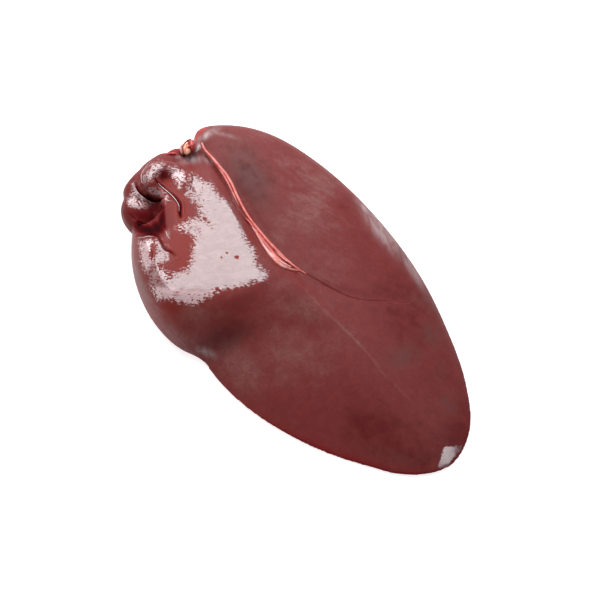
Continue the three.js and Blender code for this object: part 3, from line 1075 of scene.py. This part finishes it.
@dataclass
class Organ:
    """The liver itself, as one fine closed mesh.

    Sizes are in millimetres. A place is told by how far it lies from the umbilicus along the liver,
    across it and up from the table, and a tilt is how far a surface's normal points up, 1 at most.
    A crease's reach, its core and the place of its lip are in its half widths. The step of a laid
    crease and how dry, deep or pitted a wet patch is are in pixels.
    """

    sight: Sight

    voxel: float = 1.95
    joined_within: float = 0.01
    bottom_height: float = 2.5
    bottom_share: float = 0.05

    fine_reach: float = 5.0
    roundness: float = 0.6
    hilum_end: float = -108.0
    hilum_side: float = 60.0
    hilum_floor: float = 8.0

    crease_step: float = 0.5
    crease_reach: float = 5.0
    crease_core: float = 0.8
    lip_at: float = 2.2
    end_power: float = 0.5

    seen_from: float = 8.0
    dry: float = 20.0
    whole_depth: float = 8.0
    pit_depth: float = 7.0
    film_fade: float = 4.0

    # Painted sheen: a pale band on steep walls, where the bright surroundings reflect.
    rim_tilt: float = 0.22
    rim_spread: float = 0.18
    rim_sheen: float = 0.16
    rim_floor: float = 6.0
    rim_rise: float = 10.0

    near_edge_start: float = -10.0
    # Painted reflection of the table on the bottom strip of the near edge.
    pale_edge: float = 1.2
    edge_sheen: float = 0.3
    # Painted red glow of light through the thin near edge.
    thin_edge: float = 3.4
    edge_glow: float = 0.9

    # Painted shade: the tip's steep sides and bottom edge are made dark red, with no reflection.
    tip_start: float = 80.0
    tip_rise: float = 80.0
    tip_tilt: float = 0.95
    tip_tilt_spread: float = 0.35
    tip_height: float = 16.0
    tip_edge: float = 5.0
    tip_shade: float = 0.85

    def build(self, node: Object) -> tuple[Object, Surface]:
        """Model the organ from a copy of its solid.

        Args:
            node: The CAD node's object.

        Returns:
            The organ, and its surface as it is before the creases are pressed in.
        """
        organ = bpy.data.objects.new("organ", node.data.copy())
        bpy.context.scene.collection.objects.link(organ)
        self.make_smooth(organ)
        self.thin_out_bottom(organ)
        surface = Surface(organ, self.sight)
        lines = [surface.laid(crease.line, self.crease_step, crease.evened) for crease in CREASES]
        self.refine(organ, lines)
        dark, pale = self.press_creases(organ, lines)
        self.paint(organ, dark, pale)
        select_only(organ)
        bpy.ops.object.shade_smooth()
        return organ, surface

    def from_umbilicus(self, places: np.ndarray) -> np.ndarray:
        """Measure how far places lie along the liver, across it and up, one row for each way."""
        return (places - np.array(self.sight.origin)).T / MM

    def make_smooth(self, organ: Object) -> None:
        """Join the loose triangles, round the facets off and remesh evenly.

        Args:
            organ: The organ.
        """
        select_only(organ)
        set_mode(Mode.EDIT)
        bpy.ops.mesh.select_all(action="SELECT")
        bpy.ops.mesh.remove_doubles(threshold=self.joined_within * MM)
        bpy.ops.mesh.normals_make_consistent(inside=False)
        set_mode(Mode.OBJECT)
        apply_modifier(organ, "SUBSURF", levels=2)
        apply_modifier(organ, "REMESH", mode="VOXEL", voxel_size=self.voxel * MM)
        apply_modifier(organ, "SMOOTH", factor=0.5, iterations=5)

    def thin_out_bottom(self, organ: Object) -> None:
        """Keep few triangles on the flat underside, which nobody sees.

        Args:
            organ: The organ.
        """
        heights = rows_of(organ.data.polygons, "center")[:, 2]
        self.select_faces(organ, heights < self.bottom_height * MM)
        set_mode(Mode.EDIT)
        bpy.ops.mesh.decimate(ratio=self.bottom_share)
        set_mode(Mode.OBJECT)

    def refine(self, organ: Object, lines: list[np.ndarray]) -> None:
        """Halve the mesh's spacing round the hilum and along the creases.

        Args:
            organ: The organ.
            lines: The laid creases, in metres.
        """
        middles = rows_of(organ.data.polygons, "center")
        along, across, up = self.from_umbilicus(middles)
        chosen = (along < self.hilum_end) & (across < self.hilum_side) & (up > self.hilum_floor)
        reach = self.fine_reach * MM
        for line in lines:
            chosen |= distance_to(middles, line, reach) < reach
        self.select_faces(organ, chosen)
        set_mode(Mode.EDIT)
        bpy.ops.mesh.subdivide(number_cuts=1, smoothness=self.roundness)
        set_mode(Mode.OBJECT)

    @staticmethod
    def select_faces(organ: Object, chosen: np.ndarray) -> None:
        """Select some faces and nothing else.

        Args:
            organ: The organ.
            chosen: True for each face to select.
        """
        select_only(organ)
        set_mode(Mode.EDIT)
        bpy.ops.mesh.select_mode(type="FACE")
        bpy.ops.mesh.select_all(action="DESELECT")
        set_mode(Mode.OBJECT)
        organ.data.polygons.foreach_set("select", chosen)

    def press_creases(
        self, organ: Object, lines: list[np.ndarray]
    ) -> tuple[np.ndarray, np.ndarray]:
        """Press the creases in.

        Args:
            organ: The organ.
            lines: The laid creases, in metres.

        Returns:
            The painted shade that the creases give each vertex, and how pale a line makes it.
        """
        mesh = organ.data
        places = rows_of(mesh.vertices, "co")
        moved, dark, pale = np.zeros((3, len(places)))
        for crease, line in zip(CREASES, lines):
            half_width = crease.half_width * MM
            away = distance_to(places, line, self.crease_reach * half_width) / half_width
            ends = np.array([line[0], line[-1]])
            from_end = np.linalg.norm(places[:, None] - ends[None], axis=2).min(1) / MM
            kept = rise(from_end, 0, crease.ends) ** self.end_power
            moved -= kept * crease.depth * bell(away, 1)
            moved += kept * crease.lip * bell(away - self.lip_at, 1)
            core = kept * bell(away, self.crease_core)
            dark = np.maximum(dark, crease.painted_shade * core)
            pale = np.maximum(pale, crease.paleness * core)
        places += rows_of(mesh.vertex_normals, "vector") * moved[:, None] * MM
        mesh.vertices.foreach_set("co", places.ravel())
        mesh.update()
        return dark, pale

    def paint(self, organ: Object, creased: np.ndarray, pale: np.ndarray) -> None:
        """Store what the material reads on the vertices.

        Args:
            organ: The organ.
            creased: The painted shade that the creases give each vertex.
            pale: How pale each vertex is made by a line.
        """
        mesh = organ.data
        places, normals = rows_of(mesh.vertices, "co"), rows_of(mesh.vertex_normals, "vector")
        pixels = self.sight.shown(places)
        seen = np.clip(self.sight.faces(places, normals) * self.seen_from, 0, 1)
        wet, sheen_film = self.wetness(pixels, seen)
        put_attribute(mesh, "wet", wet)
        put_attribute(mesh, "highlight_glaze", seen * sheen_film)
        # Painted shade in the creases' cores and in the recesses at the hilum.
        put_attribute(mesh, "crease", np.maximum(creased, seen * dabbed(pixels, HOLLOW_SHADE_DABS)))
        # Tone: painted sheen from the grey sheen dabs, less the deep dabs, which are partly painted
        # shade.
        tone = seen * (dabbed(pixels, GREY_SHEEN_DABS) - dabbed(pixels, DEEP_AND_SHADE_DABS))
        put_attribute(mesh, "tone", tone + pale)
        for name, dabs in DABBED.items():
            put_attribute(mesh, name, seen * dabbed(pixels, dabs))

        (along, _, up), tilt = self.from_umbilicus(places), normals[:, 2]
        near = along > self.near_edge_start
        # Painted sheen on steep walls.
        painted_rim = self.rim_sheen * bell(tilt - self.rim_tilt, self.rim_spread)
        painted_rim *= rise(up, self.rim_floor, self.rim_rise)
        # Painted reflection of the table on the bottom strip of the near edge.
        table_sheen = near * self.edge_sheen * bell(up, self.pale_edge)
        # Painted sheen and reflections: the steep-wall band, the table's reflection and the pale
        # sheen dabs.
        painted_sheens = np.maximum(np.maximum(painted_rim, table_sheen), seen * dabbed(pixels, PALE_SHEEN_DABS))
        put_attribute(mesh, "sheen_film", painted_sheens)
        # Painted red glow of light through the thin near edge.
        edge = near * self.edge_glow * bell(up, self.thin_edge)
        put_attribute(mesh, "blood", np.maximum(edge, seen * dabbed(pixels, BLOOD_DABS)))
        # Painted shade on the tip's steep sides and bottom edge, outside the wet patch.
        steep = rise(self.tip_tilt - tilt, 0, self.tip_tilt_spread) * bell(up, self.tip_height)
        tip = rise(along, self.tip_start, self.tip_rise) * np.maximum(steep, bell(up, self.tip_edge))
        put_attribute(mesh, "painted_rim", self.tip_shade * tip * (wet < 0))

    def wetness(self, pixels: np.ndarray, seen: np.ndarray) -> tuple[np.ndarray, np.ndarray]:
        """Work out where the membrane is wet enough to mirror the light.

        Args:
            pixels: Where each vertex shows in the picture, one a row.
            seen: How well each vertex is seen, from 0 to 1.

        Returns:
            How deep in a wet patch each vertex lies, in pixels and negative outside, and the share
            of pale painted highlight on it.
        """
        wet = np.full(len(pixels), -self.dry)
        sheen_film = np.zeros(len(pixels))
        for patch in PATCHES:
            depth = inside_outline(pixels, patch.outline) * patch.crispness
            wet = np.maximum(wet, depth)
            sheen_film = np.maximum(sheen_film, patch.sheen_film * rise(depth, -self.film_fade, self.film_fade))
        wet = np.minimum(wet, self.whole_depth - self.pit_depth * dabbed(pixels, PIT_DABS))
        wet -= self.dry * dabbed(pixels, BARE_DABS)
        wet[seen <= 0] = -self.dry
        return np.maximum(wet, -self.dry), sheen_film


@dataclass(frozen=True)
class Strand:
    """A round strand lying on the organ, thicker or thinner along its way.

    Its way is in pixels. The radii, in millimetres, are spread evenly along it, and the lift says
    how far its middle lies above the surface, as a share of its radius.
    """

    finish: Finish
    line: list[Pixel]
    radii: tuple[float, ...]
    lift: float = 0.0
    step: float = 2.0
    evened: int = 4

    def build(self, name: str, surface: Surface) -> Object:
        """Model the strand.

        Args:
            name: What it is called.
            surface: What it lies on.

        Returns:
            The strand.
        """
        laid = surface.laid(self.line, self.step, self.evened)
        shares = np.linspace(0, 1, len(laid))
        radii = np.interp(shares, np.linspace(0, 1, len(self.radii)), self.radii)
        normals = np.array([surface.normal(p) for p in laid])
        points = laid + normals * radii[:, None] * self.lift * MM
        curve = bpy.data.curves.new(name, "CURVE")
        curve.dimensions = "3D"
        curve.bevel_depth = MM
        curve.bevel_resolution = 4
        curve.use_fill_caps = True
        spline = curve.splines.new("NURBS")
        spline.points.add(len(points) - 1)
        for point, place, radius in zip(spline.points, points, radii):
            point.co = (*place, 1)
            point.radius = radius
        spline.use_endpoint_u = True
        spline.order_u = 4
        piece = bpy.data.objects.new(name, curve)
        bpy.context.scene.collection.objects.link(piece)
        select_only(piece)
        bpy.ops.object.convert(target="MESH")
        bpy.ops.object.shade_smooth()
        return bpy.context.object


@dataclass(frozen=True)
class Knob:
    """A lump of tissue: a drawn-out ball with an uneven surface.

    Its place is a pixel. Its reaches along, across and up, its height above the surface, how far the
    surface moves in and out and the size of the spots in which it does are in millimetres. It is
    turned in plan, in degrees.
    """

    finish: Finish
    place: Pixel
    reach: tuple[float, float, float]
    height: float
    turn: float
    unevenness: float
    spots: float = 4.0

    def build(self, name: str, surface: Surface) -> Object:
        """Model the lump.

        Args:
            name: What it is called.
            surface: What it lies on.

        Returns:
            The lump.
        """
        middle = surface.place(np.array(self.place)) + np.array((0, 0, self.height * MM))
        bpy.ops.object.select_all(action="DESELECT")
        bpy.ops.mesh.primitive_ico_sphere_add(subdivisions=4, radius=1, location=tuple(middle))
        piece = bpy.context.object
        piece.name = name
        piece.scale = tuple(r * MM for r in self.reach)
        piece.rotation_euler = (0, 0, math.radians(self.turn))
        bpy.ops.object.transform_apply(location=True, rotation=True, scale=True)
        texture = bpy.data.textures.new(name, "CLOUDS")
        texture.noise_scale = self.spots * MM
        apply_modifier(piece, "DISPLACE", texture=texture, strength=self.unevenness * MM * 2)
        bpy.ops.object.shade_smooth()
        return piece


@dataclass(frozen=True)
class Assembly:
    """Pieces that belong together on the organ. Each is a field and has the field's name."""

    def build(self, surface: Surface, materials: dict[Finish, Material]) -> None:
        """Model each piece and give it its material and its body.

        Args:
            surface: What the pieces lie on.
            materials: The material of each finish.
        """
        for field in fields(self):
            part = getattr(self, field.name)
            hand_in(part.build(field.name, surface), materials[part.finish])


@dataclass(frozen=True)
class RoundLigament(Assembly):
    """The strands of the round ligament in their fissure, and the web between them."""

    web: Strand = Strand(Finish.RED, WEB, (0.8, 2.2, 3.2, 3.4, 2.8, 0.8), lift=-0.45)
    lower_web: Strand = Strand(Finish.PALE, LOWER_WEB, (0.8, 2.0, 2.2, 0.8))
    right_strand: Strand = Strand(
        Finish.CORAL, RIGHT_STRAND, (1.1, 1.9, 1.9, 1.7, 1.6, 1.7, 1.9, 2.0, 1.6, 0.6), lift=0.35
    )
    side_strand: Strand = Strand(Finish.CORAL, SIDE_STRAND, (0.3, 1.2, 1.3, 1.1, 0.3), lift=-0.2)
    left_strand: Strand = Strand(
        Finish.PALE, LEFT_STRAND, (0.5, 1.1, 1.5, 2.0, 2.2, 1.6, 0.5), lift=0.35
    )
    loop_strand: Strand = Strand(Finish.PALE, LOOP_STRAND, (0.3, 0.8, 0.8, 0.3), lift=1.6)


@dataclass(frozen=True)
class CutVessels(Assembly):
    """The cut vessels at the hilum, with the fat and the membrane round them."""

    fat: Knob = Knob(Finish.FAT, FAT_AT, (8.4, 3.6, 5.2), 0.4, -39.0, 1.8, 5.0)
    vessel_rim: Knob = Knob(Finish.PALE, VESSEL_AT, (6.6, 2.6, 4.4), 0.0, -30.0, 1.0)
    blood_clot: Knob = Knob(Finish.BLOOD, CLOT_AT, (6.4, 3.2, 4.8), -0.2, -39.0, 1.2)
    membrane_lump: Knob = Knob(Finish.SINEW, LUMP_AT, (2.4, 5.6, 1.7), -0.5, 30.0, 0.9, 3.0)
    flap: Strand = Strand(Finish.BLOOD, FLAP, (0.4, 1.8, 1.8, 0.8), lift=-0.1, evened=30)


THIN = (0.15, 0.45, 0.5, 0.4, 0.15)


@dataclass(frozen=True)
class GlintLines(Assembly):
    """Painted highlights: pale strands beside the creases that stand in for the glints of light on
    the wet membrane.
    """

    lobe_glint: Strand = Strand(Finish.GLINT, LOBE_GLINT, THIN, 0.3, 1.5, 12)
    wet_edge_1: Strand = Strand(Finish.GLINT, OUTER_GLINT, THIN, 0.5, 1.5)
    wet_edge_2: Strand = Strand(Finish.GLINT, INNER_GLINT, THIN, 0.5, 1.5)
    wet_edge_3: Strand = Strand(Finish.GLINT, HOLLOW_GLINT, THIN, 0.5, 1.5)
    wet_edge_4: Strand = Strand(Finish.GLINT, TONGUE_GLINT, THIN, 0.5, 1.5)


def direction_to(azimuth: float, elevation: float) -> Vector:
    """Point somewhere, by degrees from +Y towards +X and by degrees above the horizon."""
    turn, tilt = math.radians(azimuth), math.radians(elevation)
    return Vector((math.sin(turn) * math.cos(tilt), math.cos(turn) * math.cos(tilt), math.sin(tilt)))


def hold(name: str, data: ID, place: Vector, back: Vector) -> Object:
    """Put a camera or a light in the scene.

    Args:
        name: Its name.
        data: The camera or the light.
        place: Where it stands.
        back: The way that its back faces.

    Returns:
        The object that holds it.
    """
    holder = bpy.data.objects.new(name, data)
    holder.location = place
    holder.rotation_mode = "QUATERNION"
    holder.rotation_quaternion = back.to_track_quat("Z", "Y")
    bpy.context.scene.collection.objects.link(holder)
    return holder


@dataclass(frozen=True)
class Light:
    """A soft light that faces the organ, of so many watts.

    The azimuth is in degrees from +Y towards +X. The distance, width and height are in metres.
    """

    name: str
    azimuth: float
    elevation: float
    distance: float
    width: float
    height: float
    watts: float
    colour: Colour

    def hang(self) -> None:
        """Hang the light up."""
        light = bpy.data.lights.new(self.name, "AREA")
        light.shape = "RECTANGLE"
        light.size, light.size_y = self.width, self.height
        light.energy = self.watts
        light.color = self.colour
        toward = direction_to(self.azimuth, self.elevation)
        hold(self.name, light, toward * self.distance, toward)


@dataclass(frozen=True)
class Studio:
    """The table, the lights and the soft light all round. Lengths are in metres."""

    key: Light = Light("key", -74.0, 46.0, 1.6, 1.6, 1.8, 48.0, (1.0, 0.97, 0.99))
    tip: Light = Light("tip", 42.0, 60.0, 1.5, 0.9, 0.6, 7.0, (1.0, 0.97, 0.98))
    horizon: Colour = (1.5, 1.5, 1.5)
    overhead: Colour = (0.22, 0.21, 0.22)
    overhead_from: float = 0.5
    glow: Colour = (1.1, 1.0, 1.0)
    glow_from: float = 0.45
    table_side: float = 12.0
    table_grey: float = 0.5
    table_glow: float = 0.8

    def build(self, sight: Sight) -> None:
        """Set the whole studio up.

        Args:
            sight: The camera's place and lens.
        """
        scene = bpy.context.scene
        camera = bpy.data.cameras.new("camera")
        camera.lens = sight.lens
        camera.sensor_width = sight.sensor
        scene.camera = hold("camera", camera, sight.eye(), sight.axes()[2])
        self.lay_table()
        self.fill_world()
        self.key.hang()
        self.tip.hang()
        scene.view_settings.view_transform = "Standard"
        scene.view_settings.look = "None"

    def lay_table(self) -> None:
        """Lay the pale table, bright enough that the organ's shadow stays faint."""
        bpy.ops.object.select_all(action="DESELECT")
        bpy.ops.mesh.primitive_plane_add(size=self.table_side)
        table = bpy.context.object
        table.name = "floor"
        material, graph = new_material("pale_table")
        shader = graph.principled(
            {
                "Base Color": whole_colour((self.table_grey,) * 3),
                "Roughness": 0.8,
                "Specular IOR Level": 0.1,
                "Emission Color": (1.0, 1.0, 1.0, 1.0),
                "Emission Strength": self.table_glow,
            }
        )
        graph.end("ShaderNodeOutputMaterial", shader)
        table.data.materials.append(material)

    def fill_world(self) -> None:
        """Surround the table with soft light: bright at the horizon and round the key light."""
        world = bpy.data.worlds.new("studio")
        world.use_nodes = True
        bpy.context.scene.world = world
        graph = Graph(world.node_tree)
        where = graph.node("ShaderNodeTexCoord", {}, {})
        direction = Value(graph, where.outputs["Generated"])
        split = graph.node("ShaderNodeSeparateXYZ", {}, {"Vector": direction})
        overhead = Value(graph, split.outputs["Z"]).step(0.0, self.overhead_from)
        toward_key = graph.node(
            "ShaderNodeVectorMath",
            {"operation": "DOT_PRODUCT"},
            {0: direction, 1: direction_to(self.key.azimuth, self.key.elevation)},
        )
        glow = Value(graph, toward_key.outputs["Value"]).step(self.glow_from, 1.0)
        sky = graph.mix(self.horizon, self.overhead, overhead)
        colour = graph.mix(sky, self.glow, glow)
        light = graph.node("ShaderNodeBackground", {}, {"Color": colour, "Strength": 1.0})
        graph.end("ShaderNodeOutputWorld", light)


def hand_in(piece: Object, material: Material) -> None:
    """Give a piece its material and its body.

    Args:
        piece: The piece.
        material: Its material.
    """
    piece.data.materials.clear()
    piece.data.materials.append(material)
    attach(piece, "root")
    LOG.info("%s: %d faces of %s", piece.name, len(piece.data.polygons), material.name)


def main() -> None:
    """Build the whole scene in order."""
    logging.basicConfig(level=logging.INFO, format="%(name)s %(message)s")
    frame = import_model()
    sight = Sight.of_node("liver")
    organ, surface = Organ(sight).build(frame["nodes"]["liver"])
    hand_in(organ, LiverFlesh().dress())
    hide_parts("liver")
    materials = {finish: finish.value.dress(finish.name.lower()) for finish in Finish}
    for assembly in (RoundLigament(), CutVessels(), GlintLines()):
        assembly.build(surface, materials)
    Studio().build(sight)


if __name__ == "__main__":
    main()
